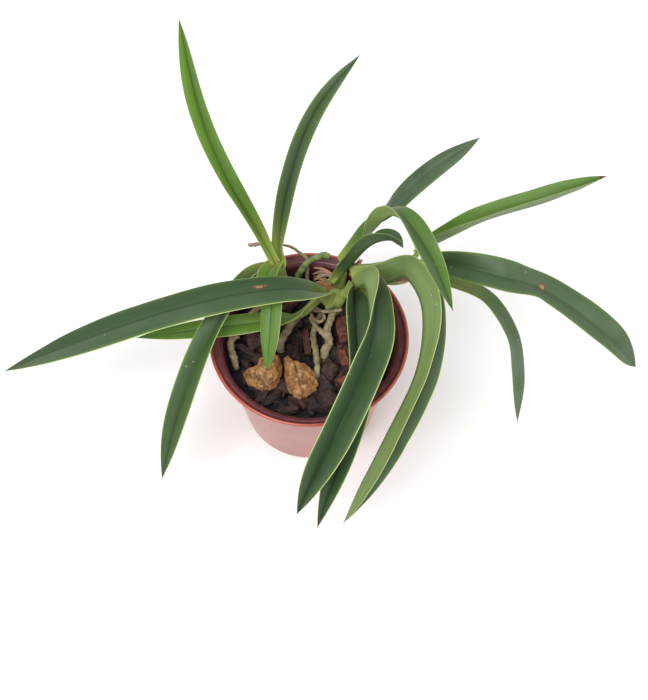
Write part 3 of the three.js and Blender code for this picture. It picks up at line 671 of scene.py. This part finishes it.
def cork_finish(settings):
    """Dry corky lump: ochre with pale crumbs on the worn corners, darkened with painted shade in its pitted
    hollows and cracks.
    """
    finish = Finish("bark_cork", {"Roughness": 0.85, "Specular IOR Level": 0.25})
    place = finish.place()
    broad = finish.noise(place, 190, detail=3)
    grain = finish.noise(place, 560, detail=6, roughness=0.7)
    fine = finish.noise(place, 1500, detail=4, roughness=0.7)
    colour = finish.shades(finish.step(broad, 0.35, 0.62), settings.cork, 0.42, 1)
    colour = finish.mix(finish.step(grain, 0.48, 0.66, 0.7), colour, settings.cork_light)
    colour = finish.mix(finish.step(fine, 0.5, 0.7, 0.6), colour, settings.cork_light)
    # Painted shade: darker the deeper a spot lies in a pitted hollow
    pit_shade = finish.step(finish.attribute("hollow_shade"), 0.45, 0.95)
    finish.colour(finish.mix(pit_shade, colour, darker(settings.cork, 0.2)))
    finish.bump(grain, 0.0007)
    finish.bump(fine, 0.0002)
    return finish.material


def root_finish(settings):
    """Spongy root skin over a green core, scuffed and soiled."""
    finish = Finish("root_skin", {"Roughness": 0.7, "Specular IOR Level": 0.35})
    scuff = finish.noise(finish.place(), 500, detail=5, roughness=0.65)
    soil = finish.noise(finish.place(), 260, detail=3)
    worn = finish.step(scuff, 0.3, 0.7)
    skin = finish.shades(worn, settings.grey, 0.6, 1.3)
    living = finish.shades(worn, settings.green, 0.7, 1.3)
    colour = finish.mix(finish.attribute("green"), skin, living)
    finish.colour(finish.mix(finish.step(soil, 0.5, 0.7, 0.6), colour, (0.1, 0.055, 0.035)))
    finish.bump(scuff, 0.00025)
    return finish.material


def paper_finish(settings):
    """Dry papery sheath with long fibres, from pink-brown to rust."""
    finish = Finish("dry_sheath", {"Roughness": 0.8, "Specular IOR Level": 0.3, "Sheen Weight": 0.1})
    fibres = finish.drawn_out(9, 1, 2, 4)
    colour = finish.mix(finish.attribute("rust"), settings.paper, settings.rust)
    between = finish.mix(0.4, colour, (0.12, 0.05, 0.03))
    finish.colour(finish.mix(finish.step(fibres, 0.35, 0.7), between, colour))
    finish.bump(fibres, 0.0003)
    return finish.material


def plastic_finish(settings):
    """Thin tinted plastic: pink and glossy outside, a redder lip, dull inside, with painted shade that
    darkens the inner wall and more so further down.
    """
    finish = Finish("pot_plastic", {"IOR": 1.5, "Specular IOR Level": 0.6})
    inner = finish.attribute("inner")
    height = finish.height()
    cloud = finish.noise(finish.place(), 90, detail=4)
    grime = finish.noise(finish.place(), 420, detail=5, roughness=0.7)
    top, lip_low = settings.height, settings.height - settings.lip_height
    outside = finish.shades(finish.step(cloud, 0.3, 0.7), settings.outside, 0.95, 1.05)
    outside = finish.mix(finish.step(height, lip_low - 0.1 * MM, lip_low + 0.1 * MM), outside, settings.lip)
    inside = finish.shades(finish.step(grime, 0.35, 0.65), settings.inside, 0.6, 1.3)
    # Painted shade: the inner wall darkens from 0.7 mm to 6 mm below the top
    clear_of_painted_shade = finish.step(height, top - 6 * MM, top - 0.7 * MM)
    inside = finish.mix(clear_of_painted_shade, darker(settings.inside, 0.3), inside)
    inside = finish.mix(finish.step(height, lip_low + 0.3 * MM, lip_low + 0.8 * MM), inside, settings.lip)
    finish.colour(finish.mix(inner, outside, inside))
    finish.roughness(finish.math("ADD", inner, finish.math("MULTIPLY", cloud, 0.2)), 0.2, 0.55)
    finish.bump(finish.math("MULTIPLY", grime, inner), 0.0003)
    finish.bump(finish.noise(finish.place(), 1800, detail=2), 0.00002, 0.4)
    return finish.material


def turned(bm, profile, sides):
    """Spins [radius, height] corners in mm about the vertical into a closed skin."""
    verts = [bm.verts.new((radius * MM, 0, height * MM)) for radius, height in profile]
    edges = [bm.edges.new(pair) for pair in zip(verts, verts[1:])]
    bmesh.ops.spin(
        bm, geom=verts + edges, cent=(0, 0, 0), axis=(0, 0, 1), angle=ROUND, steps=sides, use_merge=True
    )
    bmesh.ops.remove_doubles(bm, verts=bm.verts, dist=1e-6)


def cut_out(piece, cutter_bm):
    """Cuts closed shapes out of a piece and removes the cutter."""
    mesh = bpy.data.meshes.new("cutter")
    cutter_bm.to_mesh(mesh)
    cutter_bm.free()
    cutter = bpy.data.objects.new("cutter", mesh)
    bpy.context.scene.collection.objects.link(cutter)
    cut = piece.modifiers.new("drains", "BOOLEAN")
    cut.object = cutter
    cut.solver = "FAST"
    shaped = piece.evaluated_get(bpy.context.evaluated_depsgraph_get())
    piece.data = bpy.data.meshes.new_from_object(shaped)
    piece.modifiers.clear()
    bpy.data.objects.remove(cutter)


def make_pot(settings):
    rim, height = settings.rim_radius / MM, settings.height / MM
    under_lip = height - settings.lip_height / MM
    top, base = settings.body_top_radius / MM, settings.base_radius / MM
    wall, ring = settings.wall / MM, settings.lip_ring / MM
    foot, recess, floor = 0.8, 0.3, 1.2
    outer = [
        [0, recess], [base - 4, recess], [base - 3, 0], [base - foot, 0], [base - 0.25, 0.25], [base, foot],
        [top - 0.1, under_lip - 0.4], [top + 0.1, under_lip - 0.1], [top + 0.5, under_lip],
        [rim - 0.4, under_lip], [rim - 0.1, under_lip + 0.15], [rim, under_lip + 0.5],
        [rim, height - 0.5], [rim - 0.12, height - 0.15], [rim - 0.4, height],
    ]
    inner = [
        [rim - ring + 0.05, height], [rim - ring - 0.15, height - 0.15], [rim - ring - 0.4, height - 0.5],
        [top - wall + 0.3, under_lip - wall + 0.4], [top - wall, under_lip - wall - 0.2],
        [base - wall, floor + 0.6], [base - wall - 0.5, floor], [0, floor],
    ]
    bm = bmesh.new()
    turned(bm, outer + inner, 180)
    layer = bm.verts.layers.float.new("inner")
    middle = rim - ring
    for vert in bm.verts:
        radius, rise = math.hypot(vert.co.x, vert.co.y) / MM, vert.co.z / MM
        wall_middle = base - wall / 2 + (top - base) * rise / under_lip
        within = radius < middle + 0.05 if rise > under_lip - 0.3 else radius < wall_middle and rise > 0.7
        vert[layer] = 1 if within else 0
    piece = finished("pot_shell", bm, plastic_finish(settings), ["pot"], steep=50)
    drains = bmesh.new()
    bore = settings.drain_radius
    for i in range(settings.drain_count):
        angle = (i + 0.5) * ROUND / settings.drain_count
        spot = Vector((math.cos(angle), math.sin(angle), 0)) * settings.drain_circle
        bmesh.ops.create_cone(
            drains, cap_ends=True, segments=48, radius1=bore, radius2=bore, depth=6 * MM,
            matrix=Matrix.Translation(spot),
        )
    cut_out(piece, drains)


def random_planes(draw, count):
    """Faces that cut a ball of half a unit's radius into a broken piece."""
    planes = []
    for axis in ((1, 0, 0), (-1, 0, 0), (0, 1, 0), (0, -1, 0), (0, 0, 1), (0, 0, -1)):
        lean = Vector((draw.uniform(-1, 1), draw.uniform(-1, 1), draw.uniform(-1, 1))) * 0.3
        planes.append(((Vector(axis) + lean).normalized(), draw.uniform(0.32, 0.44)))
    for _ in range(count):
        normal = Vector((draw.uniform(-1, 1), draw.uniform(-1, 1), draw.uniform(-1, 1))).normalized()
        planes.append((normal, draw.uniform(0.36, 0.48)))
    return planes


def hull_planes(corners):
    """Middle and faces of the block that wraps the corners."""
    bm = bmesh.new()
    for corner in corners:
        bm.verts.new(corner)
    bmesh.ops.convex_hull(bm, input=bm.verts)
    middle = sum((Vector(corner) for corner in corners), Vector()) / len(corners)
    planes = []
    for face in bm.faces:
        distance = (face.calc_center_median() - middle).dot(face.normal)
        if distance > 0:
            planes.append((face.normal.copy(), distance))
    bm.free()
    return middle, planes


def broken_piece(bm, matrix, planes, limit, subdivisions, seed, stuff, **attributes):
    """Broken lump: a ball cut back to flat faces with worn edges, then crumbled and pitted as its stuff is.
    No corner reaches further out than the limit."""
    layers_at = float_layers(bm, ["hollow_shade", *attributes])
    ball = bmesh.ops.create_icosphere(bm, subdivisions=subdivisions, radius=1)
    offset = Vector((seed * 1.7, seed * 0.3, seed))
    wear = stuff["wear"]
    for vert in ball["verts"]:
        direction = vert.co.normalized()
        closeness = limit**-wear
        for normal, distance in planes:
            facing = direction.dot(normal)
            if facing > 0:
                closeness += (facing / distance) ** wear
        reach = closeness ** (-1 / wear)
        spot = direction * reach * stuff["grain"] + offset
        crumble = noise.fractal(spot, 0.9, 2.1, 5)
        pit = max(noise.noise(spot * 1.6) - 0.1, 0)
        vert.co = matrix @ (direction * reach * (1 + stuff["roughness"] * (0.45 * crumble - 0.9 * pit)))
        # Marks how deep a spot lies in a pit, for painted shade there
        vert[layers_at["hollow_shade"]] = stuff["pitted"] * min(max(1.8 * pit - 0.3 * crumble, 0), 1)
        for name, value in attributes.items():
            vert[layers_at[name]] = value


def make_filling(settings):
    low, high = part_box("bark_mix")
    floor, radius = low.z / MM, high.x / MM - 0.1
    bm = bmesh.new()
    rings = [[radius * i / 22, FILLING_TOP] for i in range(22, -1, -1)]
    turned(bm, [[0, floor], [radius - 4.6, floor], [radius - 0.4, FILLING_TOP - 1]] + rings, 90)
    layers = float_layers(bm, ["red", "hollow_shade"])
    for vert in bm.verts:
        spot = vert.co / MM
        if spot.z > FILLING_TOP - 0.1:
            vert.co.z += 1.2 * MM * noise.fractal(Vector((spot.x, spot.y, 3)) * 0.35, 0.8, 2, 4)
            # The filling's top between the bits is marked for near-black painted shade
            vert[layers["hollow_shade"]] = 1
    draw = random.Random(5)
    for i in range(settings.bits):
        large = i % 3 > 0
        long = draw.uniform(4.5, 10) if large else draw.uniform(1.5, 3)
        reach = (radius - 0.42 * long) * math.sqrt(draw.random())
        angle = draw.uniform(0, ROUND)
        spot = Vector((reach * math.cos(angle), reach * math.sin(angle), draw.uniform(28.8, 30.2))) * MM
        size = Vector((long, long * draw.uniform(0.3, 0.6), draw.uniform(1.6, 3))) * MM
        roll, pitch, turn = draw.uniform(-0.5, 0.5), draw.uniform(-0.4, 0.4), draw.uniform(0, ROUND)
        tilt = Matrix.Rotation(roll, 4, "X") @ Matrix.Rotation(pitch, 4, "Y")
        laid = Matrix.Translation(spot) @ Matrix.Rotation(turn, 4, "Z") @ tilt
        matrix = laid @ Matrix.Diagonal((*size, 1))
        rust = draw.choice((0, 0, 0, 0.1, 0.2, 0.6))
        planes = random_planes(draw, 3)
        broken_piece(bm, matrix, planes, 0.56, 4 if large else 2, 300 + i, BARK, red=rust)
    finished("bark_filling", bm, bark_finish(settings), ["bark_mix"], steep=60)


def make_chunks(settings):
    material = bark_finish(settings)
    for i, ((x, y), size, turn, red) in enumerate(CHUNKS, 1):
        draw = random.Random(40 + i)
        seated = Matrix.Translation(Vector((x, y, SEAT + 0.36 * size[2])) * MM)
        pitch = Matrix.Rotation(draw.uniform(-0.2, 0.2), 4, "Y")
        spun = Matrix.Rotation(math.radians(turn), 4, "Z") @ pitch
        matrix = seated @ spun @ Matrix.Diagonal((*(Vector(size) * MM), 1))
        bm = bmesh.new()
        broken_piece(bm, matrix, random_planes(draw, 3), 0.58, 5, 40 + i, BARK, red=red)
        finished(f"bark_piece_{i:02d}", bm, material, [f"bark_chunk_{i:02d}"])


def make_lumps(settings):
    material = cork_finish(settings)
    for side, blocks in LUMPS.items():
        bm = bmesh.new()
        for i, corners in enumerate(blocks):
            middle, planes = hull_planes(corners)
            matrix = Matrix.Translation(middle * MM) @ Matrix.Scale(LUMP_SWELL * MM, 4)
            broken_piece(bm, matrix, planes, 8, 6, 11 + i, CORK)
        finished(f"cork_lump_{side}", bm, material, [f"bark_large_{side}"])


def make_shoots(settings):
    """Each shoot: a short stem, a neck into each leaf and the clasping sheaths in a fan."""
    material = leaf_finish("leaf_sheath", settings)
    thickness = settings.thickness / MM
    stem = {"tone": 0.4, "painted_sheen": 0, "pale": 0, "yellow": 0.55, "across": 0.5, "under": 1, "brown": 0}
    for name, (points, radii) in SHOOTS.items():
        bm = bmesh.new()
        x, y = points[0][:2]
        rooted = [[x, y, foot] for foot in STEM_FEET] + points
        tube(bm, rooted, radii, 28, 0.35, 3, rough=0.03, upright=True, attributes=stem)
        crown = Path(rooted).at([0.8])[0]
        for i, leaf in enumerate(LEAVES.values()):
            if leaf["shoot"] != name:
                continue
            share = sheath_share(leaf)
            neck = np.vstack([crown, Path(leaf["path"]).at([0, share * 0.4])[:, :3]])
            tube(bm, neck, (1.5, 0.45), 24, 0.35, 5 + i, rough=0.02, attributes=stem)
            blade(
                bm, leaf, 0, share, 26, (1.5 * thickness, 0.6 * thickness), 20 + i, spread=(1.12, 0.94),
                attributes=leaf_looks(leaf),
            )
        finished(f"shoot_{name}_crown", bm, material, [f"shoot_{name}"])


def leaf_looks(leaf):
    """Colour values of a leaf at a place across and along it. The painted sheen deepens towards the tip, and
    a scar or a browned tip is darkest at its rim."""
    tip = leaf.get("tip", 0.008)

    def looks(across, along):
        side = min(max(0.5 + across * 2.5, 0), 1)
        fade = max(1 - along / leaf["yellow"], 0)
        brown = min(max(2 * (along - 1 + tip) / tip, 0), 1) * 0.5
        for scar_across, scar_along, wide, tall in leaf.get("scars", []):
            away = math.hypot((across - scar_across) / wide, (along - scar_along) / tall)
            brown = max(brown, 0.7 * min(max(2.6 - 2 * away, 0), 1))
        # Each half has its own tone, partly painted light, and its own share of painted sheen
        tone, painted_sheen = (left + (right - left) * side for left, right in (leaf["tone"], leaf["painted_sheen"]))
        painted_sheen *= 0.65 + 0.7 * along
        return {"tone": tone, "painted_sheen": painted_sheen, "pale": leaf["pale"], "yellow": fade**1.5, "brown": brown}

    return looks


def make_leaves(settings):
    material = leaf_finish("leaf_blade", settings)
    thickness = settings.thickness / MM
    for i, (name, leaf) in enumerate(LEAVES.items()):
        bm = bmesh.new()
        start, looks = 0.45 * sheath_share(leaf), leaf_looks(leaf)
        blade(bm, leaf, start, 1, settings.steps, (thickness, thickness), 20 + i, attributes=looks)
        finished(f"blade_{name}", bm, material, [f"leaf_{name}"])


def make_roots(settings):
    material = root_finish(settings)
    for i, (name, (green, strands)) in enumerate(ROOTS.items()):
        bm = bmesh.new()
        for j, (points, radii) in enumerate(strands):
            tube(bm, points, radii, 24, 0.25, 60 + i + 7 * j, rough=0.35, attributes={"green": green})
        finished(f"root_{name}_skin", bm, material, [f"root_{name}"])


def make_bracts(settings):
    """Each dry sheath remain: a tuft of torn, curling strips."""
    material = paper_finish(settings)
    for i, (name, (points, width, rust)) in enumerate(BRACTS.items()):
        draw = random.Random(80 + i)
        bm = bmesh.new()
        for j in range(STRIPS):
            sideways, outward, lift = (draw.uniform(-0.45, 0.45) * width for _ in range(3))
            curl = draw.uniform(-0.25, 0.45)
            torn = [
                [
                    x + 0.6 * sideways,
                    y + outward * (0.4 + k),
                    z + 0.3 * lift + curl * k * k,
                    r + 40 * sideways,
                ]
                for k, (x, y, z, r) in enumerate(points)
            ]
            strip = dict(path=torn, width=width * draw.uniform(0.2, 0.5), fold=(40, 10), base=0.8)
            looks = {"rust": min(max(rust + draw.uniform(-0.3, 0.3), 0), 1)}
            seed = 80 + 10 * i + j
            blade(bm, strip, 0, 1, 30, (0.2, 0.2), seed, attributes=lambda across, along: looks)
        finished(f"dry_{name}", bm, material, [f"bract_{name}"])


def facing(spot, aim):
    """Turn of a lamp or camera at the spot that looks at the aim."""
    return (Vector(aim) - Vector(spot)).to_track_quat("-Z", "Y").to_euler()


def soft_lamp(name, spot, aim, size, power):
    light = bpy.data.lights.new(name, "AREA")
    light.shape = "DISK"
    light.size = size
    light.energy = power
    lamp = bpy.data.objects.new(name, light)
    lamp.location = spot
    lamp.rotation_euler = facing(spot, aim)
    bpy.context.scene.collection.objects.link(lamp)


def make_stage(settings):
    bm = bmesh.new()
    bmesh.ops.create_circle(bm, cap_ends=True, segments=96, radius=FLOOR_RADIUS)
    mesh = bpy.data.meshes.new("floor")
    bm.to_mesh(mesh)
    bm.free()
    floor = bpy.data.objects.new("floor", mesh)
    finish = Finish("floor", {"Base Color": (*settings.floor, 1), "Roughness": 0.9})
    mesh.materials.append(finish.material)
    bpy.context.scene.collection.objects.link(floor)
    world = bpy.data.worlds.new("studio")
    world.use_nodes = True
    background = world.node_tree.nodes["Background"]
    background.inputs["Color"].default_value = (1, 1, 1, 1)
    background.inputs["Strength"].default_value = settings.sky
    bpy.context.scene.world = world
    middle = (0, 0, 0.05)
    soft_lamp("key", (-0.35, -0.45, 0.9), middle, 0.6, settings.key)
    soft_lamp("fill", (0.7, -0.2, 0.5), middle, 0.7, 0.25 * settings.key)
    camera_data = bpy.data.cameras.new("camera")
    camera_data.lens = settings.lens
    camera = bpy.data.objects.new("camera", camera_data)
    camera.location = CAMERA_SPOT
    camera.rotation_euler = facing(CAMERA_SPOT, CAMERA_AIM)
    bpy.context.scene.collection.objects.link(camera)
    bpy.context.scene.camera = camera
    bpy.context.scene.view_settings.view_transform = "Standard"


class ORCHID_OT_pot(bpy.types.Operator):
    """Turn the thin plastic pot with its lip and drain holes"""

    bl_idname = "orchid.pot"
    bl_label = "Pot"

    def execute(self, context):
        make_pot(context.scene.orchid_pot)
        return {"FINISHED"}


class ORCHID_OT_filling(bpy.types.Operator):
    """Fill the pot with damp bark and strew small bits on top"""

    bl_idname = "orchid.filling"
    bl_label = "Bark filling"

    def execute(self, context):
        make_filling(context.scene.orchid_bark)
        return {"FINISHED"}


class ORCHID_OT_chunks(bpy.types.Operator):
    """Lay the loose dark and red bark pieces"""

    bl_idname = "orchid.chunks"
    bl_label = "Bark pieces"

    def execute(self, context):
        make_chunks(context.scene.orchid_bark)
        return {"FINISHED"}


class ORCHID_OT_lumps(bpy.types.Operator):
    """Set the two pale corky lumps"""

    bl_idname = "orchid.lumps"
    bl_label = "Cork lumps"

    def execute(self, context):
        make_lumps(context.scene.orchid_bark)
        return {"FINISHED"}


class ORCHID_OT_shoots(bpy.types.Operator):
    """Grow the short stems with their clasping sheaths"""

    bl_idname = "orchid.shoots"
    bl_label = "Shoots"

    def execute(self, context):
        make_shoots(context.scene.orchid_leaf)
        return {"FINISHED"}


class ORCHID_OT_leaves(bpy.types.Operator):
    """Grow the folded arching leaves"""

    bl_idname = "orchid.leaves"
    bl_label = "Leaves"

    def execute(self, context):
        make_leaves(context.scene.orchid_leaf)
        return {"FINISHED"}


class ORCHID_OT_roots(bpy.types.Operator):
    """Run the bare roots over the bark"""

    bl_idname = "orchid.roots"
    bl_label = "Roots"

    def execute(self, context):
        make_roots(context.scene.orchid_root)
        return {"FINISHED"}


class ORCHID_OT_bracts(bpy.types.Operator):
    """Add the dry remains of old sheaths"""

    bl_idname = "orchid.bracts"
    bl_label = "Dry sheaths"

    def execute(self, context):
        make_bracts(context.scene.orchid_root)
        return {"FINISHED"}


class ORCHID_OT_stage(bpy.types.Operator):
    """Set up the floor, the soft lamps and the camera"""

    bl_idname = "orchid.stage"
    bl_label = "Stage"

    def execute(self, context):
        make_stage(context.scene.orchid_stage)
        return {"FINISHED"}


OPERATORS = (
    ORCHID_OT_pot, ORCHID_OT_filling, ORCHID_OT_chunks, ORCHID_OT_lumps, ORCHID_OT_shoots, ORCHID_OT_leaves,
    ORCHID_OT_roots, ORCHID_OT_bracts, ORCHID_OT_stage,
)
SETTINGS = {
    "orchid_pot": PotSettings,
    "orchid_leaf": LeafSettings,
    "orchid_bark": BarkSettings,
    "orchid_root": RootSettings,
    "orchid_stage": StageSettings,
}


class ORCHID_PT_panel(bpy.types.Panel):
    """Lists the orchid's pieces and the stage"""

    bl_label = "Wind orchid"
    bl_space_type = "VIEW_3D"
    bl_region_type = "UI"
    bl_category = "Orchid"

    def draw(self, context):
        for operator in OPERATORS:
            self.layout.operator(operator.bl_idname)
        for name, group in SETTINGS.items():
            box = self.layout.box()
            for field in group.__annotations__:
                box.prop(getattr(context.scene, name), field)


def register():
    for kind in (*SETTINGS.values(), *OPERATORS, ORCHID_PT_panel):
        bpy.utils.register_class(kind)
    for name, group in SETTINGS.items():
        setattr(bpy.types.Scene, name, PointerProperty(type=group))


def unregister():
    for name in SETTINGS:
        delattr(bpy.types.Scene, name)
    for kind in (ORCHID_PT_panel, *reversed(OPERATORS), *reversed(SETTINGS.values())):
        bpy.utils.unregister_class(kind)


def main():
    register()
    for operator in OPERATORS:
        family, name = operator.bl_idname.split(".")
        getattr(getattr(bpy.ops, family), name)()


if __name__ == "__main__":
    main()
